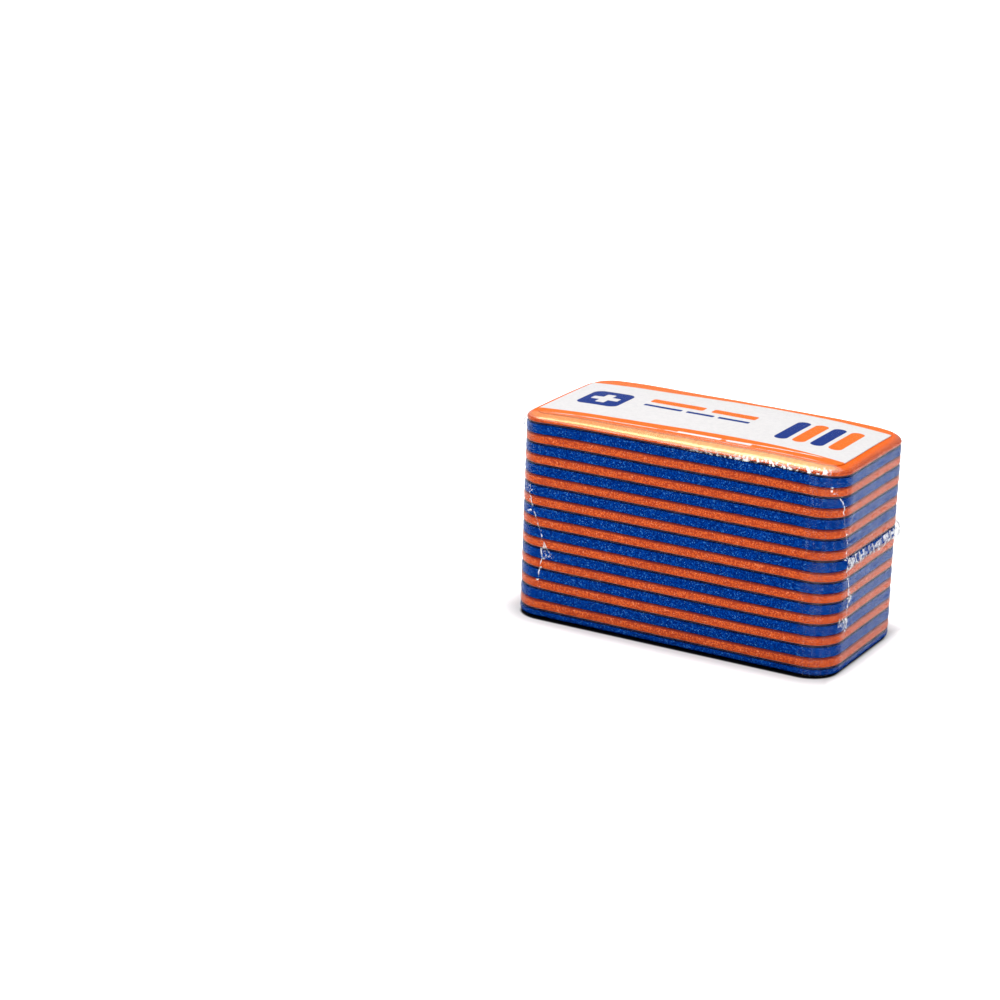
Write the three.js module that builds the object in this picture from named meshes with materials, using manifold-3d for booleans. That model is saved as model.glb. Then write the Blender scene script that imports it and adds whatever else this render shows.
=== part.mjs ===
// One shrink-wrapped pack of flat finger splints, lying on its broad side with its card on top.
// Each splint is a thin metal core between a blue and an orange foam pad.
// Millimetres, Z up, X along the splints, front long side towards -Y.
// The origin is under the middle of the whole pack.

import * as THREE from 'three';
import { mergeVertices } from 'three/addons/utils/BufferGeometryUtils.js';
import Module from 'manifold-3d';

// Splints
const splintCount = 10;
const splintLength = 95.2;
const splintWidth = 47;
const splintCornerRadius = 8;
const splintThickness = 5.82; // of one splint, with the gaps between its three layers
const orangeThickness = 2.5;
const coreThickness = 0.4;
const coreInset = 0.5; // the metal stays back from the foam's edge
const layerGap = 0.1; // between layers that are bonded or lie on each other
const foamEdgeReach = 0.4; // softened edge of each pad, inwards
const foamEdgeDrop = 0.35; // and up or down
const blueThickness = splintThickness - orangeThickness - coreThickness - 2 * layerGap;

// The outermost pads, pressed thinner and rounded by the film
const topPadThickness = 1.8;
const topShoulderReach = 2.6;
const topShoulderDrop = 0.88;
const bottomPadThickness = 2;
const bottomShoulderReach = 2.4;
const bottomShoulderDrop = 0.95;

// Printed card on the top pad
const cardThickness = 0.3;
const cardMargin = 2.8; // orange rim that shows all round

// Clear film
const filmWall = 0.2;
const filmClearance = 0.12;
const ventDiameter = 5;
const ventFromMiddle = 26;

// Crimped weld of the film, round both ends and the back at mid height
const weldHeight = 30.8;
const weldReach = 1.8;
const weldThickness = 0.5;
const weldWave = 1; // how far the crimp swings up and down
const weldWavePitch = 6.4;

// Gathered film at the four upright corners
const gatherReach = 0.7;
const gatherWidth = 1.5;

// One row for each corner: its end and side, where it sits on the corner's turn from the
// long side (0) to the end (1), and its lower and upper ends as shares of the pack's height
const gathers = [
  { end: 1, side: -1, turn: 0.72, low: 0.2, high: 0.9 },
  { end: -1, side: -1, turn: 0.08, low: 0.13, high: 0.7 },
  { end: 1, side: 1, turn: 0.6, low: 0.2, high: 0.85 },
  { end: -1, side: 1, turn: 0.6, low: 0.2, high: 0.85 },
];

// Facets
const cornerSteps = 6; // in each rounded corner of the plan
const shoulderSteps = 3;
const smallestRadius = 0.5;
const mostRounding = 0.49; // of a pad's thickness, at either edge
const gatherFacets = 6;

const wasm = await Module();
wasm.setup();

const colours = {
  orange: { color: 0xe4622a, roughness: 0.85, metalness: 0 },
  blue: { color: 0x164c9c, roughness: 0.85, metalness: 0 },
  core: { color: 0x9a9ea3, roughness: 0.4, metalness: 1 },
  card: { color: 0xf1f0ee, roughness: 0.45, metalness: 0 },
  film: { color: 0xdde6f0, roughness: 0.12, metalness: 0 },
};

const pack = new THREE.Group();

function addPiece(name, geometry, colour) {
  geometry.computeVertexNormals();
  const piece = new THREE.Mesh(geometry, new THREE.MeshStandardMaterial(colours[colour]));
  piece.name = name;
  pack.add(piece);
  return piece;
}

// Corner centres of the plan in anticlockwise order, starting at the front right
const planCorners = [
  { end: 1, side: -1, from: -Math.PI / 2 },
  { end: 1, side: 1, from: 0 },
  { end: -1, side: 1, from: Math.PI / 2 },
  { end: -1, side: -1, from: Math.PI },
];

// A point on the splint's rounded plan outline, moved outwards, at an angle within one corner
function planPoint(corner, angle, outwards, z) {
  const radius = Math.max(splintCornerRadius + outwards, smallestRadius);
  const alongX = splintLength / 2 + outwards - radius;
  const alongY = splintWidth / 2 + outwards - radius;
  return new THREE.Vector3(
    corner.end * alongX + radius * Math.cos(angle),
    corner.side * alongY + radius * Math.sin(angle),
    z,
  );
}

function planRing(outwards, z) {
  const ring = [];
  for (const corner of planCorners) {
    for (let step = 0; step <= cornerSteps; step += 1) {
      const angle = corner.from + (step / cornerSteps) * (Math.PI / 2);
      ring.push(planPoint(corner, angle, outwards, z));
    }
  }
  return ring;
}

// Closed skin through sections with the same number of points, each turning right-handed
// about the way from the first section to the last
function loft(sections) {
  const around = sections[0].length;
  const positions = sections.flat().flatMap((point) => [point.x, point.y, point.z]);
  const triangles = [];
  for (let level = 0; level < sections.length - 1; level += 1) {
    for (let place = 0; place < around; place += 1) {
      const next = (place + 1) % around;
      const low = level * around;
      const high = low + around;
      triangles.push(low + place, low + next, high + next);
      triangles.push(low + place, high + next, high + place);
    }
  }
  const last = (sections.length - 1) * around;
  for (let place = 1; place < around - 1; place += 1) {
    triangles.push(0, place + 1, place);
    triangles.push(last, last + place, last + place + 1);
  }
  const geometry = new THREE.BufferGeometry();
  geometry.setAttribute('position', new THREE.Float32BufferAttribute(positions, 3));
  geometry.setIndex(triangles);
  return geometry;
}

// Edge profile of a pad as points { outwards, z } from its underside to its top
function padProfile(bottom, thickness, lowerEdge, upperEdge) {
  const top = bottom + thickness;
  const mostDrop = mostRounding * thickness;
  const profile = [];
  for (let step = 0; step <= lowerEdge.steps; step += 1) {
    const angle = ((step / lowerEdge.steps) * Math.PI) / 2;
    const outwards = -lowerEdge.reach * (1 - Math.sin(angle));
    profile.push({ outwards, z: bottom + Math.min(lowerEdge.drop, mostDrop) * (1 - Math.cos(angle)) });
  }
  for (let step = 0; step <= upperEdge.steps; step += 1) {
    const angle = ((step / upperEdge.steps) * Math.PI) / 2;
    const outwards = -upperEdge.reach * (1 - Math.cos(angle));
    profile.push({ outwards, z: top - Math.min(upperEdge.drop, mostDrop) * (1 - Math.sin(angle)) });
  }
  return profile;
}

function solidFromProfile(profile) {
  return loft(profile.map(({ outwards, z }) => planRing(outwards, z)));
}

// A plate with upright edges, cut from an extruded plan outline
function plate(inset, thickness, bottom) {
  const outline = new THREE.Shape(planRing(-inset, 0).map((point) => new THREE.Vector2(point.x, point.y)));
  const geometry = new THREE.ExtrudeGeometry(outline, { depth: thickness, bevelEnabled: false });
  geometry.translate(0, 0, bottom);
  return geometry;
}

// Splints, from the lowest up

const softEdge = { reach: foamEdgeReach, drop: foamEdgeDrop, steps: 1 };
const topShoulder = { reach: topShoulderReach, drop: topShoulderDrop, steps: shoulderSteps };
const bottomShoulder = { reach: bottomShoulderReach, drop: bottomShoulderDrop, steps: shoulderSteps };

const outerProfile = []; // what the film is drawn tight over

function buildSplint(number, bottom) {
  const isLowest = number === 1;
  const isHighest = number === splintCount;
  const label = `splint_${String(number).padStart(2, '0')}`;

  const bluePad = isLowest ? bottomPadThickness : blueThickness;
  const blueProfile = padProfile(bottom, bluePad, isLowest ? bottomShoulder : softEdge, softEdge);
  addPiece(`${label}_blue_foam`, solidFromProfile(blueProfile), 'blue');

  const coreBottom = bottom + bluePad + layerGap;
  addPiece(`${label}_metal_core`, plate(coreInset, coreThickness, coreBottom), 'core');

  const orangeBottom = coreBottom + coreThickness + layerGap;
  const orangePad = isHighest ? topPadThickness : orangeThickness;
  const orangeProfile = padProfile(orangeBottom, orangePad, softEdge, isHighest ? topShoulder : softEdge);
  addPiece(`${label}_orange_foam`, solidFromProfile(orangeProfile), 'orange');

  outerProfile.push(...blueProfile, ...orangeProfile);
  return orangeBottom + orangePad;
}

let stackTop = filmWall + filmClearance - layerGap;
for (let number = 1; number <= splintCount; number += 1) {
  stackTop = buildSplint(number, stackTop + layerGap);
}

// Card

const cardBottom = stackTop + layerGap;
const cardTop = cardBottom + cardThickness;
addPiece('label_card', plate(cardMargin, cardThickness, cardBottom), 'card');
outerProfile.push({ outwards: -cardMargin, z: cardBottom }, { outwards: -cardMargin, z: cardTop });

// Film

// The tight line over a set of profile points, from the lowest to the highest
function tightLine(points) {
  const sorted = [...points].sort((a, b) => a.z - b.z || b.outwards - a.outwards);
  const line = [];
  for (const point of sorted) {
    while (line.length > 1) {
      const [before, last] = line.slice(-2);
      const turn = (last.outwards - before.outwards) * (point.z - before.z)
        - (last.z - before.z) * (point.outwards - before.outwards);
      if (turn > 0) break;
      line.pop();
    }
    line.push(point);
  }
  return line;
}

// The same line moved squarely outwards, with level ground before and after it
function movedOut(line, distance) {
  return line.map((point, index) => {
    const before = line[index - 1] ?? { outwards: point.outwards - 1, z: point.z };
    const after = line[index + 1] ?? { outwards: point.outwards - 1, z: point.z };
    const first = new THREE.Vector2(point.z - before.z, before.outwards - point.outwards).normalize();
    const second = new THREE.Vector2(after.z - point.z, point.outwards - after.outwards).normalize();
    const shift = first.clone().add(second).multiplyScalar(distance / (1 + first.dot(second)));
    return { outwards: point.outwards + shift.x, z: point.z + shift.y };
  });
}

function toManifold(geometry) {
  const bare = geometry.clone();
  bare.deleteAttribute('normal');
  bare.deleteAttribute('uv');
  const merged = mergeVertices(bare);
  return new wasm.Manifold(new wasm.Mesh({
    numProp: 3,
    vertProperties: new Float32Array(merged.attributes.position.array),
    triVerts: new Uint32Array(merged.index.array),
  }));
}

function fromManifold(solid) {
  const mesh = solid.getMesh();
  const geometry = new THREE.BufferGeometry();
  geometry.setAttribute('position', new THREE.Float32BufferAttribute(mesh.vertProperties, 3));
  geometry.setIndex([...mesh.triVerts]);
  return geometry;
}

const filmReach = filmClearance + filmWall; // from the foam to the film's outer face

// The weld's way: places on the plan from the front right corner round the back to the front left
function weldPlaces() {
  const places = [];
  const endFlat = splintWidth - 2 * splintCornerRadius;
  const longFlat = splintLength - 2 * splintCornerRadius;
  const turnLength = (splintCornerRadius * Math.PI) / 2;
  const straights = [endFlat, longFlat, endFlat];
  const halfWave = weldWavePitch / 2;
  straights.forEach((straight, index) => {
    const from = planPoint(planCorners[index], planCorners[index].from + Math.PI / 2, 0, 0);
    const to = planPoint(planCorners[index + 1], planCorners[index + 1].from, 0, 0);
    const out = new THREE.Vector3().subVectors(to, from).normalize().cross(new THREE.Vector3(0, 0, 1));
    const steps = Math.max(2, Math.round(straight / halfWave));
    for (let step = 0; step < steps; step += 1) {
      places.push({ at: from.clone().lerp(to, step / steps), out: out.clone() });
    }
    if (index === straights.length - 1) {
      places.push({ at: to, out: out.clone() });
      return;
    }
    const corner = planCorners[index + 1];
    const turnSteps = Math.max(2, Math.round(turnLength / halfWave));
    for (let step = 0; step < turnSteps; step += 1) {
      const angle = corner.from + (step / turnSteps) * (Math.PI / 2);
      const at = planPoint(corner, angle, 0, 0);
      places.push({ at, out: new THREE.Vector3(Math.cos(angle), Math.sin(angle), 0) });
    }
  });
  return places;
}

// A crimped ribbon that stands out from the film, tapering to nothing at its two ends
function weldRibbon() {
  const places = weldPlaces();
  const sections = places.map(({ at, out }, index) => {
    const isTip = index === 0 || index === places.length - 1;
    const reach = filmReach + weldReach * (isTip ? 0.3 : 1);
    const middle = weldHeight + (index % 2 === 0 ? -weldWave : weldWave) * (isTip ? 0.3 : 1);
    const inner = at.clone().addScaledVector(out, -filmClearance);
    const outer = at.clone().addScaledVector(out, reach);
    return [
      new THREE.Vector3(inner.x, inner.y, middle - weldThickness / 2),
      new THREE.Vector3(inner.x, inner.y, middle + weldThickness / 2),
      new THREE.Vector3(outer.x, outer.y, middle + weldThickness / 2),
      new THREE.Vector3(outer.x, outer.y, middle - weldThickness / 2),
    ];
  });
  return loft(sections);
}

// A slim upright spindle, half sunk in the film at a corner
function gatherSpindle({ end, side, turn, low, high }) {
  const height = cardTop + filmReach;
  const spindle = new THREE.SphereGeometry(1, gatherFacets, gatherFacets);
  spindle.rotateX(Math.PI / 2);
  spindle.scale(gatherReach, gatherWidth / 2, ((high - low) * height) / 2);
  const outAngle = Math.atan2(side * Math.cos((turn * Math.PI) / 2), end * Math.sin((turn * Math.PI) / 2));
  spindle.rotateZ(outAngle);
  const at = planPoint({ end, side }, outAngle, filmReach, ((low + high) / 2) * height);
  spindle.translate(at.x, at.y, at.z);
  return spindle;
}

function buildFilm() {
  const tight = tightLine(outerProfile);
  const inside = toManifold(solidFromProfile(movedOut(tight, filmClearance)));
  let film = toManifold(solidFromProfile(movedOut(tight, filmReach)));
  film = film.add(toManifold(weldRibbon()));
  for (const gather of gathers) {
    film = film.add(toManifold(gatherSpindle(gather)));
  }
  const vent = new THREE.CylinderGeometry(ventDiameter / 2, ventDiameter / 2, 3 * filmWall, 12);
  vent.rotateX(Math.PI / 2);
  vent.translate(-ventFromMiddle, 0, filmWall / 2);
  return film.subtract(inside).subtract(toManifold(vent));
}

addPiece('film_wrap', fromManifold(buildFilm()), 'film');

// Put the origin under the middle of the whole pack
const bounds = new THREE.Box3().setFromObject(pack);
const middle = bounds.getCenter(new THREE.Vector3());
pack.position.set(-middle.x, -middle.y, -bounds.min.z);

export default pack;
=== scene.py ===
# A pack of flat finger splints in clear shrink film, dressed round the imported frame.
# Metres, Z up, X along the splints, front long side towards -Y.

import math

import bmesh
import bpy
import numpy as np
from mathutils import Matrix, Vector


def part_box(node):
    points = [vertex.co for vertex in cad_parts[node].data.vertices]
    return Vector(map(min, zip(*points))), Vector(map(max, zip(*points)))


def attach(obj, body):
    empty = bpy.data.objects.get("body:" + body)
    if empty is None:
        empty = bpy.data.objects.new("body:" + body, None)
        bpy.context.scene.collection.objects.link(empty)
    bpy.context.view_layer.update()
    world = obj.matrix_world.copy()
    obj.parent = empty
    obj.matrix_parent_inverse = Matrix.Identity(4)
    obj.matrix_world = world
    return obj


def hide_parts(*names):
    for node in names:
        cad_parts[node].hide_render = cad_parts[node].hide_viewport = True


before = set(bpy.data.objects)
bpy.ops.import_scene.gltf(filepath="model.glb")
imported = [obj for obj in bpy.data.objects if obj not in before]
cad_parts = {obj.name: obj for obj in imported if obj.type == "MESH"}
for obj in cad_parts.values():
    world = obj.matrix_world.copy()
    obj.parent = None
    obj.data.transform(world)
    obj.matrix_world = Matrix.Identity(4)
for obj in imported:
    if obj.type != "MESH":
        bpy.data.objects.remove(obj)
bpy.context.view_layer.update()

mm = 0.001
foamLow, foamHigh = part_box("splint_05_orange_foam")  # a plain pad gives the stack's plan
cardLow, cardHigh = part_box("label_card")
stack = {
    "halfLength": (foamHigh.x - foamLow.x) / 2,
    "halfWidth": (foamHigh.y - foamLow.y) / 2,
    "corner": 8 * mm,
    "middleY": (foamHigh.y + foamLow.y) / 2,
    "top": cardHigh.z,
    "splints": 10,
}


# Node trees

class Wire:
    # A socket that takes part in Python sums
    def __init__(self, tree, socket):
        self.tree = tree
        self.socket = socket

    def maths(self, operation, *values):
        return node(self.tree, "ShaderNodeMath", {"operation": operation}, dict(enumerate(values))).wire

    def __add__(self, other):
        return self.maths("ADD", self, other)

    def __radd__(self, other):
        return self.maths("ADD", other, self)

    def __sub__(self, other):
        return self.maths("SUBTRACT", self, other)

    def __rsub__(self, other):
        return self.maths("SUBTRACT", other, self)

    def __mul__(self, other):
        return self.maths("MULTIPLY", self, other)

    def __rmul__(self, other):
        return self.maths("MULTIPLY", other, self)

    def __truediv__(self, other):
        return self.maths("DIVIDE", self, other)

    def __rtruediv__(self, other):
        return self.maths("DIVIDE", other, self)

    def __pow__(self, other):
        return self.maths("POWER", self, other)

    def __neg__(self):
        return self.maths("MULTIPLY", self, -1.0)

    def __abs__(self):
        return self.maths("ABSOLUTE", self)

    def above(self, other):
        return self.maths("MAXIMUM", self, other)

    def below(self, other):
        return self.maths("MINIMUM", self, other)

    def sine(self):
        return self.maths("SINE", self)

    def ramp(self, start, end, low=0.0, high=1.0):
        # A smooth step from low to high between two values
        inputs = {"Value": self, "From Min": start, "From Max": end, "To Min": low, "To Max": high}
        settings = {"interpolation_type": "SMOOTHSTEP", "clamp": True}
        return node(self.tree, "ShaderNodeMapRange", settings, inputs).wire


class Made:
    # A new node, with its outputs by name
    def __init__(self, tree, made):
        self.tree = tree
        self.made = made

    @property
    def wire(self):
        return Wire(self.tree, next(socket for socket in self.made.outputs if socket.enabled))

    def out(self, name):
        found = [socket for socket in self.made.outputs if socket.name == name and socket.enabled]
        return Wire(self.tree, found[0])


def node(tree, kind, settings=None, inputs=None):
    made = tree.nodes.new(kind)
    for name, value in (settings or {}).items():
        setattr(made, name, value)
    for name, value in (inputs or {}).items():
        if isinstance(name, int):
            socket = made.inputs[name]
        else:
            socket = next(one for one in made.inputs if one.name == name and one.enabled)
        if isinstance(value, Wire):
            tree.links.new(value.socket, socket)
        else:
            socket.default_value = value
    return Made(tree, made)


def blend(tree, share, first, second):
    # Two colours mixed
    settings = {"data_type": "RGBA", "blend_type": "MIX"}
    return node(tree, "ShaderNodeMix", settings, {"Factor": share, "A": first, "B": second}).wire


def rgb(red, green, blue):
    return (red, green, blue, 1.0)


def newMaterial(name):
    material = bpy.data.materials.new(name)
    material.use_nodes = True
    material.node_tree.nodes.clear()
    return material, material.node_tree


def finishMaterial(tree, shader):
    output = tree.nodes.new("ShaderNodeOutputMaterial")
    tree.links.new(shader.socket, output.inputs["Surface"])


def places(tree):
    # The place on the pack, with y counted from the stack's middle
    spot = node(tree, "ShaderNodeTexCoord").out("Object")
    split = node(tree, "ShaderNodeSeparateXYZ", None, {"Vector": spot})
    return spot, split.out("X"), split.out("Y") - stack["middleY"], split.out("Z")


def vectors(tree, operation, first, second):
    settings = {"operation": operation}
    return node(tree, "ShaderNodeVectorMath", settings, {0: first, 1: second}).wire


def stretched(tree, spot, x, y, z):
    # Places multiplied by three numbers, for a pattern with its own scale in each direction
    return vectors(tree, "MULTIPLY", spot, (x, y, z))


def scaled(tree, vector, amount):
    inputs = {0: vector, "Scale": amount}
    return node(tree, "ShaderNodeVectorMath", {"operation": "SCALE"}, inputs).wire


def noise(tree, spot, scale, detail=2.0, roughness=0.5):
    inputs = {"Vector": spot, "Scale": scale, "Detail": detail, "Roughness": roughness}
    return node(tree, "ShaderNodeTexNoise", None, inputs).out("Fac")


def slant(tree):
    # 0 where the surface is seen squarely, 1 where it is seen edge on
    return node(tree, "ShaderNodeLayerWeight", None, {"Blend": 0.5}).out("Facing")


def bumped(tree, height, strength, depth):
    inputs = {"Height": height, "Strength": strength, "Distance": depth}
    return node(tree, "ShaderNodeBump", None, inputs).wire


def boxDistance(x, y, halfX, halfY, radius):
    # How far a point lies outside a rounded rectangle, below nothing inside it
    overX = abs(x) - (halfX - radius)
    overY = abs(y) - (halfY - radius)
    outside = (overX.above(0.0) ** 2.0 + overY.above(0.0) ** 2.0) ** 0.5
    return outside + overX.above(overY).below(0.0) - radius


def within(distance, softness):
    # 1 inside a shape, 0 outside it
    return distance.ramp(-softness, softness, 1.0, 0.0)


# Geometry trees

def geometryTree(name, inputs):
    kinds = {float: "NodeSocketFloat", int: "NodeSocketInt"}
    tree = bpy.data.node_groups.new(name, "GeometryNodeTree")
    tree.interface.new_socket("Geometry", in_out="INPUT", socket_type="NodeSocketGeometry")
    for label, value in inputs.items():
        socket = tree.interface.new_socket(label, in_out="INPUT", socket_type=kinds[type(value)])
        socket.default_value = value
    tree.interface.new_socket("Material", in_out="INPUT", socket_type="NodeSocketMaterial")
    tree.interface.new_socket("Geometry", in_out="OUTPUT", socket_type="NodeSocketGeometry")
    return tree, Made(tree, tree.nodes.new("NodeGroupInput"))


def finishTree(tree, given, geometry):
    real = node(tree, "GeometryNodeRealizeInstances", None, {"Geometry": geometry}).wire
    inputs = {"Geometry": real, "Material": given.out("Material")}
    painted = node(tree, "GeometryNodeSetMaterial", None, inputs).wire
    output = tree.nodes.new("NodeGroupOutput")
    tree.links.new(painted.socket, output.inputs["Geometry"])


def moveBy(tree, geometry, shift):
    inputs = {"Geometry": geometry, "Offset": shift}
    return node(tree, "GeometryNodeSetPosition", None, inputs).wire


def shapeBy(piece, tree, values):
    # Runs a geometry tree on a piece and keeps the result as its plain mesh
    modifier = piece.modifiers.new(tree.name, "NODES")
    modifier.node_group = tree
    for item in tree.interface.items_tree:
        if item.item_type == "SOCKET" and item.in_out == "INPUT" and item.name in values:
            modifier[item.identifier] = values[item.name]
    applyModifiers(piece, values["Material"])


def applyModifiers(piece, material):
    graph = bpy.context.evaluated_depsgraph_get()
    shaped = bpy.data.meshes.new_from_object(piece.evaluated_get(graph))
    piece.modifiers.clear()
    old = piece.data
    piece.data = shaped
    bpy.data.meshes.remove(old)
    shaped.name = piece.name
    shaped.materials.clear()
    shaped.materials.append(material)
    shaped.polygons.foreach_set("material_index", [0] * len(shaped.polygons))


def newPiece(name, verts, faces, edges=()):
    mesh = bpy.data.meshes.new(name)
    mesh.from_pydata(verts, edges, faces)
    mesh.shade_smooth()
    piece = bpy.data.objects.new(name, mesh)
    bpy.context.scene.collection.objects.link(piece)
    return piece


# Camera, floor and lights

view = {
    "azimuth": 28.9,
    "elevation": 17.8,
    "roll": -1.91,
    "lens": 108,
    "sensor": 36,
    "distance": 0.8259,
    "right": -0.05569,  # of the pack's foot, from there to the picture's middle
    "up": 0.03351,
}


def makeCamera():
    turn, tilt, roll = (math.radians(view[name]) for name in ("azimuth", "elevation", "roll"))
    ahead = Vector((-math.sin(turn) * math.cos(tilt), math.cos(turn) * math.cos(tilt), -math.sin(tilt)))
    level = Vector((math.cos(turn), math.sin(turn), 0))
    upright = level.cross(ahead)
    right = math.cos(roll) * level - math.sin(roll) * upright
    up = math.sin(roll) * level + math.cos(roll) * upright
    data = bpy.data.cameras.new("camera")
    data.lens = view["lens"]
    data.sensor_width = view["sensor"]
    data.clip_start = 0.01
    data.clip_end = 50
    camera = bpy.data.objects.new("camera", data)
    bpy.context.scene.collection.objects.link(camera)
    foot = Vector((0, stack["middleY"], 0))
    camera.location = foot + right * view["right"] + up * view["up"] - ahead * view["distance"]
    camera.rotation_mode = "QUATERNION"
    camera.rotation_quaternion = Matrix((right, up, -ahead)).transposed().to_quaternion()
    bpy.context.scene.camera = camera


studio = {
    "floor": 8.0,
    "floorColour": rgb(0.95, 0.95, 0.95),
    "shadeColour": rgb(0.66, 0.65, 0.66),  # of the floor against the pack
    "contactShadowShift": 0.6 * mm,  # of the painted contact shadow, a dark line under the pack, forwards
    "contactShadowEdge": (-0.3 * mm, 0.6 * mm),  # where that line fades, from its outline
    "contactShadowColour": rgb(0.004, 0.004, 0.006),
    "glow": 0.5,  # of the floor, so that it stays white close to the pack
    "glowFront": (0.0, 13 * mm),  # from the pack's outline, where it starts and is full
    "glowEnd": (-2 * mm, 4 * mm),
    "aim": (0, 0, 0.03),  # of the lamps
    # Brightness of the surroundings by the height that they are seen at
    "sky": [(0.0, 0.76), (0.5, 0.66), (1.0, 0.76)],
    "lamps": [
        {"name": "overhead", "from": (-0.3, -0.08, 0.85), "size": (0.6, 0.9), "power": 5.7},
        {"name": "rightFill", "from": (0.8, -0.3, 0.9), "size": (0.8, 0.6), "power": 4.3},
        {"name": "frontFill", "from": (-0.3, -1.2, 0.6), "size": (1.0, 0.6), "power": 1.7},
    ],
}


def makeFloor():
    half = studio["floor"] / 2
    corners = [(-half, -half, 0), (half, -half, 0), (half, half, 0), (-half, half, 0)]
    floor = newPiece("floor", corners, [(0, 1, 2, 3)])
    material, tree = newMaterial("paleFloor")
    spot, x, y, z = places(tree)
    # Painted shadow: near the pack the floor turns to the shade colour and its glow fades
    away = boxDistance(x, y, stack["halfLength"], stack["halfWidth"], stack["corner"])
    glow = away.ramp(*studio["glowFront"]).above((x - stack["halfLength"]).ramp(*studio["glowEnd"]))
    # Painted contact shadow: a near-black line on the floor along the pack's front and right end
    shift = studio["contactShadowShift"]
    shortened = stack["halfLength"] - shift
    contactShadow = boxDistance(x, y + shift, shortened, stack["halfWidth"], stack["corner"])
    contactShadow = contactShadow.ramp(*studio["contactShadowEdge"])
    colour = blend(tree, glow, studio["shadeColour"], studio["floorColour"])
    shader = node(tree, "ShaderNodeBsdfPrincipled", None, {
        "Base Color": blend(tree, contactShadow, studio["contactShadowColour"], colour),
        "Roughness": 0.8, "Specular IOR Level": 0.1,
        "Emission Color": blend(tree, glow * contactShadow, rgb(0, 0, 0), rgb(1, 1, 1)),
        "Emission Strength": studio["glow"],
    })
    finishMaterial(tree, shader.wire)
    floor.data.materials.append(material)


def makeSky():
    world = bpy.data.worlds.new("studio")
    bpy.context.scene.world = world
    world.use_nodes = True
    tree = world.node_tree
    direction = node(tree, "ShaderNodeTexCoord").out("Generated")
    height = node(tree, "ShaderNodeSeparateXYZ", None, {"Vector": direction}).out("Z")
    ramp = node(tree, "ShaderNodeValToRGB", None, {"Fac": height})
    stops = ramp.made.color_ramp.elements
    while len(stops) < len(studio["sky"]):
        stops.new(0.5)
    for stop, (place, light) in zip(stops, studio["sky"]):
        stop.position = place
        stop.color = rgb(light, light, light)
    tree.links.new(ramp.out("Color").socket, tree.nodes["Background"].inputs["Color"])


def makeLamps():
    for lamp in studio["lamps"]:
        data = bpy.data.lights.new(lamp["name"], "AREA")
        data.shape = "RECTANGLE"
        data.size, data.size_y = lamp["size"]
        data.energy = lamp["power"]
        light = bpy.data.objects.new(lamp["name"], data)
        bpy.context.scene.collection.objects.link(light)
        light.location = lamp["from"]
        light.rotation_mode = "QUATERNION"
        aim = Vector(studio["aim"]) - Vector(lamp["from"])
        light.rotation_quaternion = aim.to_track_quat("-Z", "Y")


def setColours():
    settings = bpy.context.scene.view_settings
    settings.view_transform = "Standard"
    settings.look = "None"


makeCamera()
makeFloor()
makeSky()
makeLamps()
setColours()
print("camera, floor and lights made")


# Rounded slabs: every flat piece of the pack is one, and so is the film round it

plainPlan = {"halfTurn": 5, "alongLength": 40, "alongWidth": 16}
finePlan = {"halfTurn": 9, "alongLength": 88, "alongWidth": 34}
quarterTurn = math.pi / 2 * stack["corner"]
longStraight = 2 * (stack["halfLength"] - stack["corner"])
endStraight = 2 * (stack["halfWidth"] - stack["corner"])


def onPlan(along):
    # A place on the stack's outline and the way out from it, by the distance round the outline
    # from the middle of the front, anticlockwise seen from above
    middleX = stack["halfLength"] - stack["corner"]
    middleY = stack["halfWidth"] - stack["corner"]
    corners = [(1, -1), (1, 1), (-1, 1), (-1, -1)]
    straights = [longStraight, endStraight, longStraight, endStraight]
    left = (along + longStraight / 2) % (2 * longStraight + 2 * endStraight + 4 * quarterTurn)
    for side in range(4):
        facing = math.radians(90 * side - 90)
        signX, signY = corners[side]
        end = np.array([signX * middleX, signY * middleY])
        way = np.array([-math.sin(facing), math.cos(facing)])
        out = np.array([math.cos(facing), math.sin(facing)])
        if left <= straights[side]:
            spot = end - way * (straights[side] - left) + out * stack["corner"]
            break
        left -= straights[side]
        if left <= quarterTurn:
            angle = facing + left / stack["corner"]
            out = np.array([math.cos(angle), math.sin(angle)])
            spot = end + out * stack["corner"]
            break
        left -= quarterTurn
    return spot + np.array([0, stack["middleY"]]), out


def planStops(detail):
    # Distances round the outline, from the middle of the front left corner's turn
    stops = []
    start = -(longStraight + quarterTurn) / 2
    for side in range(4):
        straight = longStraight if side % 2 == 0 else endStraight
        steps = detail["alongLength"] if side % 2 == 0 else detail["alongWidth"]
        halfTurn = (quarterTurn / 2, detail["halfTurn"])
        for span, count in (halfTurn, (straight, steps), halfTurn):
            stops += [start + span * step / count for step in range(count)]
            start += span
    return stops


def planRing(outwards, detail):
    ring = [onPlan(along) for along in planStops(detail)]
    return np.array([spot + out * outwards for spot, out in ring])


def gridSteps(detail):
    # Steps of the grid that closes a slab, along the pack and across it
    turns = 2 * detail["halfTurn"]
    return turns + detail["alongLength"], turns + detail["alongWidth"]


def capGrid(ring, detail):
    # A grid of points over the plan whose rim is the ring, as rows from the front to the back
    across, deep = gridSteps(detail)
    front = ring[:across + 1]
    right = ring[across:across + deep + 1]
    back = ring[across + deep:2 * across + deep + 1][::-1]
    left = np.vstack([ring[2 * across + deep:], ring[:1]])[::-1]
    over = np.linspace(0, 1, across + 1)[None, :, None]
    up = np.linspace(0, 1, deep + 1)[:, None, None]
    edges = (1 - up) * front[None] + up * back[None]
    edges = edges + (1 - over) * left[:, None] + over * right[:, None]
    ends = (1 - up) * ((1 - over) * front[0] + over * front[-1])
    return edges - ends - up * ((1 - over) * back[0] + over * back[-1])


def ringFaces(levels, around):
    # The faces between closed rings of points, each ring above the last
    faces = []
    for level in range(levels):
        for place in range(around):
            after = (place + 1) % around
            low = level * around
            faces.append((low + place, low + after, low + around + after, low + around + place))
    return faces


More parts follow.
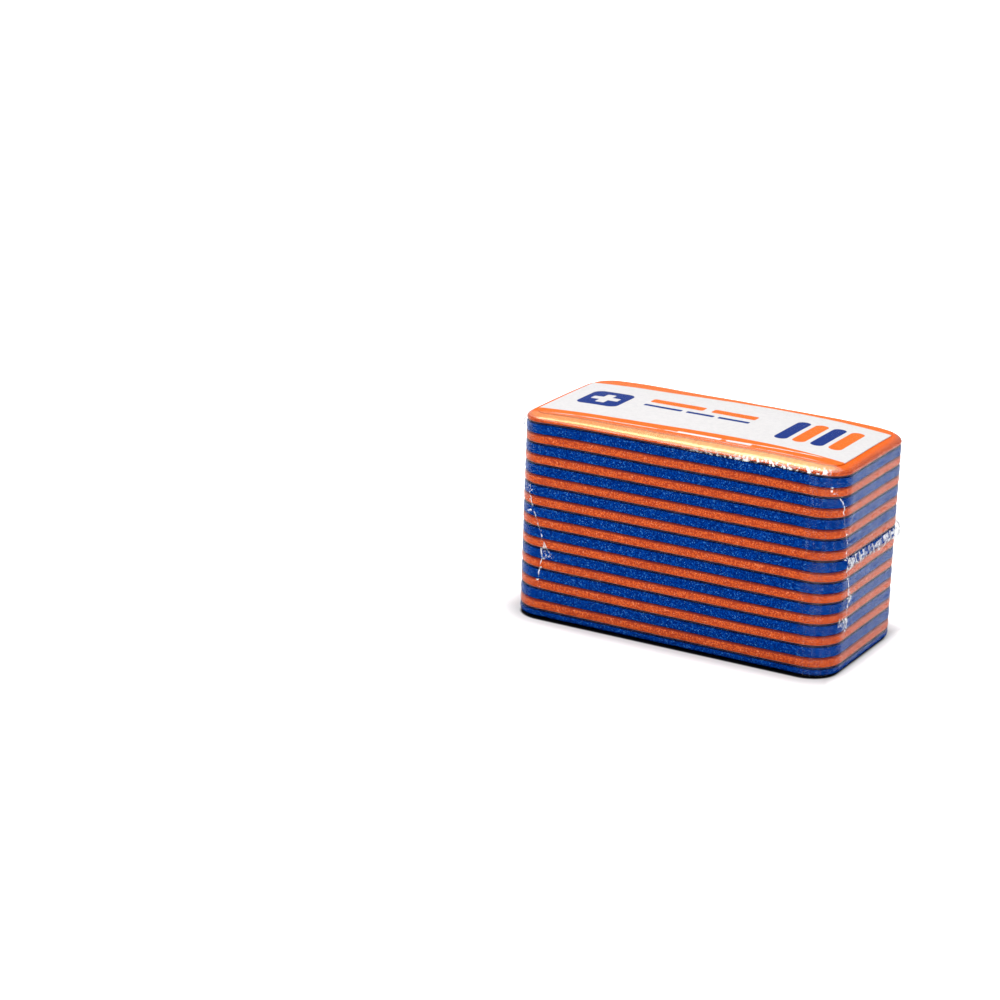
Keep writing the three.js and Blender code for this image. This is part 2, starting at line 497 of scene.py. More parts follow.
def slab(name, profile, detail=plainPlan):
    # profile: (outwards, z) pairs from the rim of the underside up to the rim of the top
    verts = []
    for outwards, z in profile:
        verts += [(x, y, z) for x, y in planRing(outwards, detail)]
    around = len(verts) // len(profile)
    faces = ringFaces(len(profile) - 1, around)
    across, deep = gridSteps(detail)
    caps = [(0, profile[0], False), (len(verts) - around, profile[-1], True)]
    for start, (outwards, z), isTop in caps:
        grid = capGrid(planRing(outwards, detail), detail)
        index = np.zeros((deep + 1, across + 1), int)
        index[0] = start + np.arange(across + 1)
        index[:, across] = start + across + np.arange(deep + 1)
        index[deep] = start + 2 * across + deep - np.arange(across + 1)
        index[1:, 0] = start + (2 * across + 2 * deep - np.arange(1, deep + 1))
        inner = len(verts) + np.arange((deep - 1) * (across - 1)).reshape(deep - 1, across - 1)
        index[1:-1, 1:-1] = inner
        verts += [(x, y, z) for x, y in grid[1:-1, 1:-1].reshape(-1, 2)]
        for row in range(deep):
            for column in range(across):
                quad = [index[row, column], index[row, column + 1],
                        index[row + 1, column + 1], index[row + 1, column]]
                faces.append([int(corner) for corner in (quad if isTop else quad[::-1])])
    return newPiece(name, verts, faces)


def markRim(piece, profile, foot, head):
    # An attribute that falls from 1 to 0 over the lowest and highest parts of a slab, where the foam is
    # given painted shade
    heights = np.array([vert.co.z for vert in piece.data.vertices], np.float32)
    values = 1.0 - (heights - profile[0][1]) / foot
    if head:
        values = np.maximum(values, 1.0 - (profile[-1][1] - heights) / head)
    values = np.clip(values, 0, 1)
    piece.data.attributes.new("rim", "FLOAT", "POINT").data.foreach_set("value", values)


def edgeProfile(bottom, top, lower, upper, bulge=0.0):
    # lower and upper hold the reach, drop and steps of the rounded edges
    profile = []
    for step in range(lower["steps"] + 1):
        angle = math.pi / 2 * step / lower["steps"]
        inwards = lower["reach"] * (1 - math.sin(angle))
        profile.append((-inwards, bottom + lower["drop"] * (1 - math.cos(angle))))
    start, end = bottom + lower["drop"], top - upper["drop"]
    for share in (0.25, 0.5, 0.75) if bulge else ():
        profile.append((bulge * (1 - (2 * share - 1) ** 2), start + (end - start) * share))
    for step in range(upper["steps"] + 1):
        angle = math.pi / 2 * step / upper["steps"]
        inwards = upper["reach"] * (1 - math.cos(angle))
        profile.append((-inwards, top - upper["drop"] * (1 - math.sin(angle))))
    return profile


# The film presses the stack: one tree moves every piece alike, so that they stay nested

press = {
    "Top Pinch": 1.08 * mm,  # how far the ends of the top layers are drawn down
    "Bottom Pinch": 0.45 * mm,  # and those of the lower ones up
    "Pinch Reach": 22 * mm,
    "Back Drop": 0.45 * mm,
    "Sag": 0.13 * mm,
    "Sag Length": 26 * mm,
    "Ripple": 0.05 * mm,
    "Ripple Length": 6 * mm,
    "Half Length": stack["halfLength"],
    "Half Width": stack["halfWidth"],
    "Middle Y": stack["middleY"],
    "Height": stack["top"],
}


# Where along the stack's height the press acts, as shares of it
pressZones = {
    "high": 0.62,  # the top layers start here
    "highPower": 1.7,
    "lowStart": (0.0, 0.15),
    "lowEnd": (0.25, 0.5),
    "offGround": (0.0, 0.12),
}


def makePressTree():
    tree, given = geometryTree("pressedByFilm", press)
    spot = node(tree, "GeometryNodeInputPosition").wire
    split = node(tree, "ShaderNodeSeparateXYZ", None, {"Vector": spot})
    x, y, z = split.out("X"), split.out("Y") - given.out("Middle Y"), split.out("Z")
    height = z / given.out("Height")
    nearEnd = ((abs(x) - given.out("Half Length")) / given.out("Pinch Reach") + 1.0).above(0.0) ** 2.0
    nearBack = (y / given.out("Half Width")).above(0.0) ** 2.0
    high = (height - pressZones["high"]) / (1 - pressZones["high"])
    high = high.above(0.0) ** pressZones["highPower"]
    low = height.ramp(*pressZones["lowStart"]) * height.ramp(*pressZones["lowEnd"], 1.0, 0.0)
    offGround = height.ramp(*pressZones["offGround"])
    sag = noise(tree, stretched(tree, spot, 1.0, 1.0, 0.35), 1.0 / given.out("Sag Length"), 0.0)
    ripple = noise(tree, stretched(tree, spot, 1.0, 1.0, 0.6), 1.0 / given.out("Ripple Length"), 1.0)
    sway = noise(tree, stretched(tree, spot, 0.6, 0.6, 1.0), 1.0 / given.out("Sag Length"), 1.0)
    lift = nearEnd * (low * given.out("Bottom Pinch") - high * given.out("Top Pinch"))
    lift = lift - nearBack * high * given.out("Back Drop")
    lift = lift + offGround * (sag - 0.5) * given.out("Sag") * 2.0
    lift = lift + offGround * (ripple - 0.5) * given.out("Ripple") * 2.0
    swell = (sway - 0.5) * given.out("Sag") * 2.5 / given.out("Half Length")
    inputs = {"X": x * swell, "Y": y * swell * 1.6, "Z": lift}
    shift = node(tree, "ShaderNodeCombineXYZ", None, inputs).wire
    finishTree(tree, given, moveBy(tree, given.out("Geometry"), shift))
    return tree


pressTree = makePressTree()


def pressed(piece, material):
    shapeBy(piece, pressTree, {**press, "Material": material})
    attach(piece, "root")


# Foam pads

pads = {
    "softEdge": {"reach": 0.22 * mm, "drop": 0.2 * mm, "steps": 3},
    "topShoulder": {"reach": 2.7 * mm, "drop": 1.1 * mm, "steps": 8},
    "bottomShoulder": {"reach": 1.5 * mm, "drop": 1.0 * mm, "steps": 8},
    "bulge": 0.1 * mm,
    "lowest": 0.16 * mm,  # the underside of the stack, close above the film
    "shadedFoot": 0.16 * mm,  # depth of the painted shade along the pads' edges, where one pad meets the next
    "shadedHead": {"orange": 0.9 * mm, "blue": 0.1 * mm},
    "ground": (0.6 * mm, 1.3 * mm),  # heights between which the shade next to the ground ends
    "litTop": (56.3 * mm, 57.3 * mm),  # heights between which painted light turns the foam to a brighter orange at the top
    "litTopColour": rgb(0.88, 0.14, 0.005),
    "litTopShare": 0.8,
    "cell": 2400,  # foam cells in a metre
    "pits": (0.2, 0.75),  # distance from a cell's middle, in cells, where its wall starts and ends
    "pitDepth": 0.12 * mm,
    "grain": 2100.0,  # in a metre, as are the two patterns below
    "mottle": 160.0,
    "fleck": 2300,
    "mixture": {"pits": 0.45, "grain": 0.5, "mottle": 0.2},  # what the shade is made of
    "shades": (0.38, 0.74),  # values of that mixture at the base and the deep colour
    "fleckShare": 0.65,
    "edgeShadeRamp": (0.2, 0.75),
    "edgeShadeShare": 0.92,
}
foams = {
    "orange": {
        "base": rgb(0.58, 0.097, 0.018),
        "deep": rgb(0.33, 0.038, 0.01),
        "fleck": rgb(0.76, 0.26, 0.12),
        # colour of the painted shade along the pad's edges
        "rim": rgb(0.14, 0.014, 0.014),
        "flecks": (0.6, 0.78),  # noise where a pale fleck starts and is full
        "gloss": 0.12,
    },
    "blue": {
        "base": rgb(0.001, 0.041, 0.26),
        "deep": rgb(0.0002, 0.014, 0.12),
        "fleck": rgb(0.05, 0.2, 0.54),
        # colour of the painted shade along the pad's edges
        "rim": rgb(0.002, 0.006, 0.045),
        "flecks": (0.58, 0.76),
        "gloss": 0.0,
    },
}


def foamMaterial(name, colours):
    material, tree = newMaterial(name)
    spot, x, y, z = places(tree)
    cells = node(tree, "ShaderNodeTexVoronoi", {"feature": "F1"}, {
        "Vector": spot, "Scale": pads["cell"],
    })
    pits = cells.out("Distance").ramp(*pads["pits"])
    grain = noise(tree, spot, pads["grain"], 3.0, 0.6)
    mottle = noise(tree, spot, pads["mottle"], 2.0)
    flecks = noise(tree, spot, pads["fleck"], 1.0).ramp(*colours["flecks"])
    rim = node(tree, "ShaderNodeAttribute", {"attribute_name": "rim"}).out("Fac")
    share = pads["mixture"]
    shade = pits * share["pits"] + grain * share["grain"] + mottle * share["mottle"]
    tint = blend(tree, shade.ramp(*pads["shades"]), colours["base"], colours["deep"])
    tint = blend(tree, flecks * pads["fleckShare"], tint, colours["fleck"])
    # Painted shade along the pads' edges, where one pad meets the next
    tint = blend(tree, rim.ramp(*pads["edgeShadeRamp"]) * pads["edgeShadeShare"], tint, colours["rim"])
    tint = blend(tree, z.ramp(*pads["ground"], 1.0, 0.0), tint, rgb(0, 0, 0))
    # Painted light: the top pad's shoulder turns a brighter orange
    tint = blend(tree, z.ramp(*pads["litTop"]) * pads["litTopShare"], tint, pads["litTopColour"])
    bump = bumped(tree, pits * -1.0, 0.3, pads["pitDepth"])
    shader = node(tree, "ShaderNodeBsdfPrincipled", None, {
        "Base Color": tint, "Roughness": 0.85, "Specular IOR Level": colours["gloss"], "Normal": bump,
    })
    finishMaterial(tree, shader.wire)
    return material


foamMaterials = {colour: foamMaterial(f"{colour}Foam", colours) for colour, colours in foams.items()}


def makePad(number, colour):
    cadName = f"splint_{number:02d}_{colour}_foam"
    low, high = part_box(cadName)
    isLowest = number == 1 and colour == "blue"
    isHighest = number == stack["splints"] and colour == "orange"
    profile = edgeProfile(
        pads["lowest"] if isLowest else low.z,
        high.z,
        pads["bottomShoulder"] if isLowest else pads["softEdge"],
        pads["topShoulder"] if isHighest else pads["softEdge"],
        pads["bulge"],
    )
    piece = slab(f"splint{number:02d}{colour.capitalize()}Foam", profile)
    markRim(piece, profile, pads["shadedFoot"], 0.0 if isHighest else pads["shadedHead"][colour])
    pressed(piece, foamMaterials[colour])
    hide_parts(cadName)


for number in range(1, stack["splints"] + 1):
    for colour in foams:
        makePad(number, colour)
print("foam pads made")


# Metal cores: only their dark edges show, as lines under the orange pads; the dark is painted shade in
# the groove between the pads

core = {
    "inset": 0.32 * mm,
    "edge": {"reach": 0.08 * mm, "drop": 0.08 * mm, "steps": 2},
    "edgeColours": (rgb(0.012, 0.008, 0.035), rgb(0.05, 0.02, 0.03)),  # two near-black tones, painted shade in the groove
    "faceColours": (rgb(0.55, 0.56, 0.58), rgb(0.4, 0.41, 0.43)),
    "rolled": (40.0, 3000.0, 40.0),  # marks in a metre along, across and up
    "coreMottle": 700.0,
    "turn": (0.3, 0.6),  # how far a face leans before it counts as the edge
}


def coreMaterial():
    material, tree = newMaterial("softAluminium")
    spot, x, y, z = places(tree)
    normal = node(tree, "ShaderNodeNewGeometry").out("Normal")
    upright = 1.0 - abs(node(tree, "ShaderNodeSeparateXYZ", None, {"Vector": normal}).out("Z"))
    rolled = noise(tree, stretched(tree, spot, *core["rolled"]), 1.0, 2.0)
    coreMottle = noise(tree, spot, core["coreMottle"], 2.0)
    face = blend(tree, rolled, *core["faceColours"])
    # Painted shade: the upright edge faces are coloured near black for the shade in the groove between
    # the pads
    edge = blend(tree, coreMottle.ramp(0.4, 0.8), *core["edgeColours"])
    shader = node(tree, "ShaderNodeBsdfPrincipled", None, {
        "Base Color": blend(tree, upright.ramp(*core["turn"]), face, edge),
        "Metallic": upright.ramp(*core["turn"], 1.0, 0.0),
        "Specular IOR Level": 0.1,
        "Roughness": 0.45 + 0.2 * coreMottle,
    })
    finishMaterial(tree, shader.wire)
    return material


metal = coreMaterial()


def makeCore(number):
    cadName = f"splint_{number:02d}_metal_core"
    low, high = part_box(cadName)
    profile = edgeProfile(low.z, high.z, core["edge"], core["edge"])
    piece = slab(f"splint{number:02d}MetalCore", [(out - core["inset"], z) for out, z in profile])
    pressed(piece, metal)
    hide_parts(cadName)


for number in range(1, stack["splints"] + 1):
    makeCore(number)
print("metal cores made")


# Printed card

card = {
    "margin": stack["halfLength"] - cardHigh.x,
    "edge": {"reach": 0.06 * mm, "drop": 0.06 * mm, "steps": 2},
    "fibre": 900.0,  # in a metre
    "uneven": (0.3, 0.75),  # fibre where the second colour of each pair below starts and is full
    "inks": {
        "paper": (rgb(0.63, 0.615, 0.615), rgb(0.58, 0.57, 0.575)),
        "orange": (rgb(0.72, 0.15, 0.014), rgb(0.66, 0.12, 0.01)),
        "navy": (rgb(0.001, 0.02, 0.17), rgb(0.003, 0.028, 0.2)),
    },
    "blur": 0.06 * mm,  # softness of the ink's edges
    "nearBand": 6.2 * mm,  # widths of the orange bands along the long edges
    "farBand": 3.6 * mm,
    "wave": 1.5 * mm,  # swing of the bands' inner edges
    "waveLength": 104 * mm,
    "waveStart": 0.9,  # turn of the wave at the card's middle, in radians
    "badge": {"x": -33 * mm, "y": 0.5 * mm, "halfX": 6.2 * mm, "halfY": 7.0 * mm, "corner": 2.4 * mm},
    "plus": {"long": 4.1 * mm, "short": 1.35 * mm},
    # Plain bars: middle, half length and half height in millimetres, and ink
    "bars": [
        {"x": -13.5, "y": 6.2, "halfX": 8.0, "halfY": 1.7, "ink": "orange"},
        {"x": 3.5, "y": 6.2, "halfX": 6.6, "halfY": 1.7, "ink": "orange"},
        {"x": -15.8, "y": 1.2, "halfX": 5.7, "halfY": 0.8, "ink": "navy"},
        {"x": -4.6, "y": 1.2, "halfX": 4.1, "halfY": 0.8, "ink": "navy"},
        {"x": 5.4, "y": 1.2, "halfX": 4.6, "halfY": 0.8, "ink": "navy"},
        {"x": 4.0, "y": -17.2, "halfX": 6.4, "halfY": 0.75, "ink": "paper"},
        {"x": 15.6, "y": -17.2, "halfX": 3.6, "halfY": 0.75, "ink": "paper"},
    ],
    "barCorner": 0.45,  # in half heights
    # A row of small upright splints, also in millimetres
    "group": {"x": 22.4, "pitch": 5.2, "y": 2.0, "halfX": 1.9, "halfY": 9.2, "corner": 0.95},
    "groupInks": ["navy", "orange", "navy", "orange"],
}


def cardMaterial():
    material, tree = newMaterial("printedCard")
    spot, x, y, z = places(tree)
    blur = card["blur"]
    halfY = stack["halfWidth"] - card["margin"]
    fibre = noise(tree, spot, card["fibre"], 4.0, 0.65)
    uneven = fibre.ramp(*card["uneven"])
    inks = {name: blend(tree, uneven, *pair) for name, pair in card["inks"].items()}
    turn = x * (2 * math.pi / card["waveLength"]) + card["waveStart"]
    wave = turn.sine() * card["wave"]
    nearBand = (y + halfY - card["nearBand"] - wave).ramp(-blur, blur, 1.0, 0.0)
    farBand = (y - halfY + card["farBand"] - wave).ramp(-blur, blur)
    colour = blend(tree, nearBand.above(farBand), inks["paper"], inks["orange"])

    badge = card["badge"]
    badgeX, badgeY = x - badge["x"], y - badge["y"]
    panel = boxDistance(badgeX, badgeY, badge["halfX"], badge["halfY"], badge["corner"])
    long, short = card["plus"]["long"], card["plus"]["short"]
    plus = boxDistance(badgeX, badgeY, long, short, short / 3)
    plus = plus.below(boxDistance(badgeX, badgeY, short, long, short / 3))
    colour = blend(tree, within(panel, blur), colour, inks["navy"])
    colour = blend(tree, within(plus, blur), colour, inks["paper"])

    group = card["group"]
    shapes = [dict(bar, corner=bar["halfY"] * card["barCorner"]) for bar in card["bars"]]
    for place, ink in enumerate(card["groupInks"]):
        middle = group["x"] + place * group["pitch"]
        shapes.append(dict(group, x=middle, corner=group["halfX"] * group["corner"], ink=ink))
    for shape in shapes:
        fromX, fromY = x - shape["x"] * mm, y - shape["y"] * mm
        halves = (shape["halfX"] * mm, shape["halfY"] * mm)
        distance = boxDistance(fromX, fromY, *halves, shape["corner"] * mm)
        colour = blend(tree, within(distance, blur), colour, inks[shape["ink"]])

    shader = node(tree, "ShaderNodeBsdfPrincipled", None, {
        "Base Color": colour,
        "Roughness": 0.5 + 0.15 * fibre,
        "Specular IOR Level": 0.08,
        "Normal": bumped(tree, fibre, 0.15, 0.05 * mm),
    })
    finishMaterial(tree, shader.wire)
    return material


def makeCard():
    profile = edgeProfile(cardLow.z, cardHigh.z, card["edge"], card["edge"])
    piece = slab("labelCard", [(out - card["margin"], z) for out, z in profile])
    pressed(piece, cardMaterial())
    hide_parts("label_card")


makeCard()
print("card made")


# Clear film, drawn tight over the stack

film = {
    "clear": 0.13 * mm,  # from the foam
    "wall": 0.05 * mm,
    "cardLap": 0.05 * mm,  # from the card's edge out to where the film lies flat
    "longest": 1.1 * mm,  # between two rings of its mesh
    "flutter": 0.09 * mm,
    "flutterLength": 5.5 * mm,
    "ventX": -26 * mm,  # of the hole in the underside
    "ventRadius": 2.5 * mm,
    "weldHeight": 30.8 * mm,
}


def tightLine(points):
    # The line that a stretched film takes round the outside of an edge, from its lowest point up
    line = []
    for point in points:
        while len(line) > 1:
            (beforeOut, beforeZ), (lastOut, lastZ) = line[-2:]
            turn = (lastOut - beforeOut) * (point[1] - beforeZ)
            turn -= (lastZ - beforeZ) * (point[0] - beforeOut)
            if turn > 0:
                break
            line.pop()
        line.append(point)
    return line


def divided(line, longest):
    # The same line with points no further apart than the longest step
    points = [line[0]]
    for first, last in zip(line, line[1:]):
        steps = math.ceil(math.dist(first, last) / longest)
        for step in range(1, steps + 1):
            points.append(tuple(a + (b - a) * step / steps for a, b in zip(first, last)))
    return points


def filmProfile():
    clear = film["clear"]
    lower, upper = pads["bottomShoulder"], pads["topShoulder"]
    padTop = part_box("splint_10_orange_foam")[1].z
    points = []
    for step in range(lower["steps"] + 1):
        angle = math.pi / 2 * step / lower["steps"]
        outwards = clear * math.sin(angle) - lower["reach"] * (1 - math.sin(angle))
        z = pads["lowest"] - clear * math.cos(angle) + lower["drop"] * (1 - math.cos(angle))
        points.append((outwards, z))
    for step in range(2 * upper["steps"] + 1):
        angle = math.pi / 4 * step / upper["steps"]
        outwards = clear * math.cos(angle) - upper["reach"] * (1 - math.cos(angle))
        z = padTop + clear * math.sin(angle) - upper["drop"] * (1 - math.sin(angle))
        points.append((outwards, z))
    points.append((film["cardLap"] - card["margin"], stack["top"] + clear))
    return divided(tightLine(points), film["longest"])


def cutVent(piece):
    # Takes the faces over the vent out of the underside and draws the rim into a circle
    centre = Vector((film["ventX"], stack["middleY"], 0))
    radius = film["ventRadius"]
    work = bmesh.new()
    work.from_mesh(piece.data)
    over = [face for face in work.faces
            if face.normal.z < -0.9 and (face.calc_center_median() - centre).to_2d().length < radius]
    bmesh.ops.delete(work, geom=over, context="FACES")
    for vert in work.verts:
        if any(edge.is_boundary for edge in vert.link_edges):
            away = (vert.co - centre).to_2d().normalized() * radius
            vert.co.x, vert.co.y = centre.x + away.x, centre.y + away.y
    work.to_mesh(piece.data)
    work.free()


flutter = {
    "Flutter": film["flutter"],
    "Flutter Length": film["flutterLength"],
    "Flat Below": 2.5 * mm,
}


def makeFlutterTree():
    # Film never lies quite smooth: small swells outwards, none underneath
    tree, given = geometryTree("flutter", flutter)
    spot = node(tree, "GeometryNodeInputPosition").wire
    z = node(tree, "ShaderNodeSeparateXYZ", None, {"Vector": spot}).out("Z")
    swell = noise(tree, stretched(tree, spot, 1.0, 1.0, 0.5), 1.0 / given.out("Flutter Length"), 2.0)
    amount = (swell - 0.4).above(0.0) * given.out("Flutter") * 3.0
    amount = amount * (z / given.out("Flat Below") - 0.4).above(0.0).below(1.0)
    shift = scaled(tree, node(tree, "GeometryNodeInputNormal").wire, amount)
    finishTree(tree, given, moveBy(tree, given.out("Geometry"), shift))
    return tree


# Heights and insets are the film's own, y is counted from the stack's middle
filmLook = {
    "haze": 0.22,
    "hazeFall": 3.7,  # how fast the haze fades where the film is seen squarely
    "hazeTint": rgb(0.92, 0.99, 1.0),
    "hazeFoot": (1 * mm, 2.2 * mm),  # heights between which the haze sets in
    "hazeHead": (56.6 * mm, 57.6 * mm),  # and between which it changes to that of the top
    "topHazeBack": (-8 * mm, 24 * mm, 0.02, 0.36),  # its share on the top, from y to y
    "topHazeRight": (-40 * mm, 40 * mm, 1.0, 0.3),  # and from x to x
    "speckles": 2300.0,  # in a metre, as are all patterns below
    "speckleShare": (0.7, 1.25),
    "faintWrinkles": 260.0,
    "shortWrinkles": 900.0,
    "wrinkleDepth": 0.12 * mm,
    "flatTop": (58.0 * mm, 58.3 * mm),
    "frontDepth": 4 * mm,  # what counts as the front, from the outline inwards
    "shoulderHeight": (56.5 * mm, 57.3 * mm),
    "shoulderInset": (2.0 * mm, 3.0 * mm, 1.0, 0.12),
    "shoulderTint": rgb(1.0, 0.72, 0.36),
    "shoulderSheen": (-40 * mm, 25 * mm, 0.2, 0.42),  # from x to x
    "weldBand": (1.2 * mm, 1.8 * mm),  # from the weld's middle, up and down
    "weldEnd": (44 * mm, 47 * mm),
}

# White flecks low on the front shoulder, more of them towards the right
shoulderFlecks = {
    "scale": 1100.0,
    "cut": (0.5, 0.62),  # noise where a fleck starts and is full, here and below
    "foot": (55.7 * mm, 56.1 * mm),
    "head": (57.1 * mm, 57.7 * mm),
    "left": (-4 * mm, 36 * mm),
    "right": (42 * mm, 45 * mm),
    "strength": 0.75,
}

# Pale patches by the front left corner, painted reflections of the film
cornerReflections = {
    "scale": 420.0,
    "cut": (0.5, 0.68),
    "left": (-46.5 * mm, -45.2 * mm),
    "back": (-18.5 * mm, -16 * mm, 0.4, 0.0),
}

# Two long creases in the film over the card's front edge, the second only on the right, painted as pale
# highlight lines
creaseHighlights = {
    "inset": 5.6 * mm,
    "slant": 0.055,
    "width": (0.1 * mm, 0.34 * mm),
    "share": (-40 * mm, 20 * mm, 0.5, 0.8),
    "secondInset": 4 * mm,
    "secondWidth": (0.06 * mm, 0.25 * mm),
    "secondShare": (0, 14 * mm, 0.0, 0.5),
    "ends": (36 * mm, 42 * mm),
    "gaps": (0.3, 0.5),  # noise where a crease is broken and whole
    "strength": 0.7,
}

# A thin veil of upright streaks round the front right corner, painted light that brightens it
cornerLightVeil = {
    "scale": 700.0,
    "cut": (0.35, 0.65),
    "left": (37.5 * mm, 39.5 * mm),
    "back": (-19 * mm, -21 * mm),
    "strength": 0.01,
}
milkAndHighlightLook = {
    "colour": rgb(0.93, 0.94, 0.96),
    "grain": 1500.0,
    "depth": 0.1 * mm,
}


def milkAndHighlightShader(tree, spot):
    # Crumpled film, seen as a milky white; also the white of the painted highlights and reflections on
    # the film
    grain = noise(tree, spot, milkAndHighlightLook["grain"], 2.0)
    return node(tree, "ShaderNodeBsdfPrincipled", None, {
        "Base Color": milkAndHighlightLook["colour"],
        "Roughness": 0.25 + 0.3 * grain,
        "Specular IOR Level": 0.6,
        "Normal": bumped(tree, grain, 0.5, milkAndHighlightLook["depth"]),
    }).wire


def mixShaders(tree, share, first, second):
    return node(tree, "ShaderNodeMixShader", None, {0: share, 1: first, 2: second}).wire


def bareShader(tree):
    return node(tree, "ShaderNodeBsdfTransparent", None, {"Color": rgb(1, 1, 1)}).wire


def creaseHighlightMask(x, nearEdge):
    # Distances from two lines near the front edge, made into soft streaks of painted highlight
    first = abs(nearEdge - creaseHighlights["inset"] - x * creaseHighlights["slant"])
    first = first.ramp(*creaseHighlights["width"], 1.0, 0.0) * x.ramp(*creaseHighlights["share"])
    second = abs(nearEdge - creaseHighlights["secondInset"]).ramp(*creaseHighlights["secondWidth"], 1.0, 0.0)
    second = second * x.ramp(*creaseHighlights["secondShare"])
    return first.above(second)


def filmMaterial():
    material, tree = newMaterial("clearFilm")
    spot, x, y, z = places(tree)
    facing = slant(tree)
    inset = -boxDistance(x, y, stack["halfLength"], stack["halfWidth"], stack["corner"])
    nearEdge = y + stack["halfWidth"]
    front = (nearEdge - filmLook["frontDepth"]).ramp(-mm, mm, 1.0, 0.0)
    shoulder = z.ramp(*filmLook["shoulderHeight"]) * inset.ramp(*filmLook["shoulderInset"])
    welded = abs(z - film["weldHeight"]).ramp(*filmLook["weldBand"], 1.0, 0.0)
    welded = welded * x.ramp(*filmLook["weldEnd"])

    # Wrinkles: long and faint on the sides, short and sharp across the front shoulder
    faint = noise(tree, stretched(tree, spot, 1.0, 1.0, 0.35), filmLook["faintWrinkles"], 3.0)
    short = noise(tree, stretched(tree, spot, 1.0, 0.4, 0.5), filmLook["shortWrinkles"], 2.0)
    onTop = z.ramp(*filmLook["flatTop"])
    height = faint * (1.0 - onTop * 0.9) * 0.6 + short * shoulder * 0.35
    onShoulder = shoulder * front
    sheen = node(tree, "ShaderNodeBsdfPrincipled", None, {
        "Base Color": blend(tree, onShoulder, filmLook["hazeTint"], filmLook["shoulderTint"]),
        "Metallic": 1.0,
        "Roughness": 0.15 + 0.22 * onShoulder,
        "Normal": bumped(tree, height, 0.6, filmLook["wrinkleDepth"]),
    }).wire

    # Haze: strong where the film is seen at a slant, and less on the top
    onTopShare = y.ramp(*filmLook["topHazeBack"]) * x.ramp(*filmLook["topHazeRight"])
    lifted = 1.0 - z.ramp(*filmLook["hazeHead"]) * (1.0 - onTopShare)
    speckle = noise(tree, spot, filmLook["speckles"], 1.0).ramp(0.35, 0.65, *filmLook["speckleShare"])
    haze = (facing ** filmLook["hazeFall"]) * (1.0 - welded * 0.9) * lifted
    haze = haze * z.ramp(*filmLook["hazeFoot"]) * speckle
    gleam = x.ramp(*filmLook["shoulderSheen"]) * (0.6 + 0.8 * short)
    share = haze * filmLook["haze"] + onShoulder * gleam
    clear = mixShaders(tree, share, bareShader(tree), sheen)

    spots = noise(tree, stretched(tree, spot, 1.0, 1.0, 0.7), shoulderFlecks["scale"], 2.0)
    spots = spots.ramp(*shoulderFlecks["cut"]) * front
    spots = spots * z.ramp(*shoulderFlecks["foot"]) * z.ramp(*shoulderFlecks["head"], 1.0, 0.0)
    spots = spots * x.ramp(*shoulderFlecks["left"]) * x.ramp(*shoulderFlecks["right"], 1.0, 0.0)
    # Painted reflections: pale patches by the front left corner
    pale = noise(tree, spot, cornerReflections["scale"], 3.0).ramp(*cornerReflections["cut"])
    pale = pale * x.ramp(*cornerReflections["left"], 1.0, 0.0) * y.ramp(*cornerReflections["back"])
    # Painted highlight lines where the film creases over the card's edge
    crease = creaseHighlightMask(x, nearEdge) * onTop
    crease = crease * abs(x).ramp(*creaseHighlights["ends"], 1.0, 0.0) * faint.ramp(*creaseHighlights["gaps"])
    # Painted light: faint white streaks that brighten the front right corner
    streaks = noise(tree, stretched(tree, spot, 1.0, 1.0, 0.15), cornerLightVeil["scale"], 2.0)
    streaks = streaks.ramp(*cornerLightVeil["cut"]) * cornerLightVeil["strength"]
    streaks = streaks * x.ramp(*cornerLightVeil["left"]) * y.ramp(*cornerLightVeil["back"])
    # White over the film: crinkled flecks, with the painted highlights, reflections and corner light
    milkAndHighlightShare = (spots * shoulderFlecks["strength"]).above(pale)
    milkAndHighlightShare = milkAndHighlightShare.above(crease * creaseHighlights["strength"]).above(streaks)
    finishMaterial(tree, mixShaders(tree, milkAndHighlightShare, clear, milkAndHighlightShader(tree, spot)))
    return material


def makeFilm():
    clearFilm = filmMaterial()
    piece = slab("filmSkin", filmProfile(), finePlan)
    cutVent(piece)
    pressed(piece, clearFilm)
    shapeBy(piece, makeFlutterTree(), {**flutter, "Material": clearFilm})
    wall = piece.modifiers.new("wall", "SOLIDIFY")
    wall.thickness = film["wall"]
    wall.offset = -1
    applyModifiers(piece, clearFilm)
    piece.visible_shadow = False
    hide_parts("film_wrap")


makeFilm()
print("film made")


# Crimped weld, from the front right corner round the back to the front left one

weld = {
    "Height": film["weldHeight"],
    "Half Width": 1.55 * mm,
    "Pitch": 2.9 * mm,
    "Crimp": 0.42 * mm,  # how far the pleats swing in and out
    "Stand": 0.5 * mm,  # how far their middle stands off the film
    "Unevenness": 0.5 * mm,
    "Slant": 0.36,  # turns that a pleat gains from the middle to the rim
    "Jitter": 1.2,
    "Cup": 0.55,  # how much less the pleats swing at the rims
    "Lean": 1.6 * mm,  # how far the weld wanders up and down
    "Flick": 0.25 * mm,
    "Length": 2 * endStraight + longStraight + 2 * quarterTurn,
    "Step": 0.26 * mm,
    "Rows": 9,
}


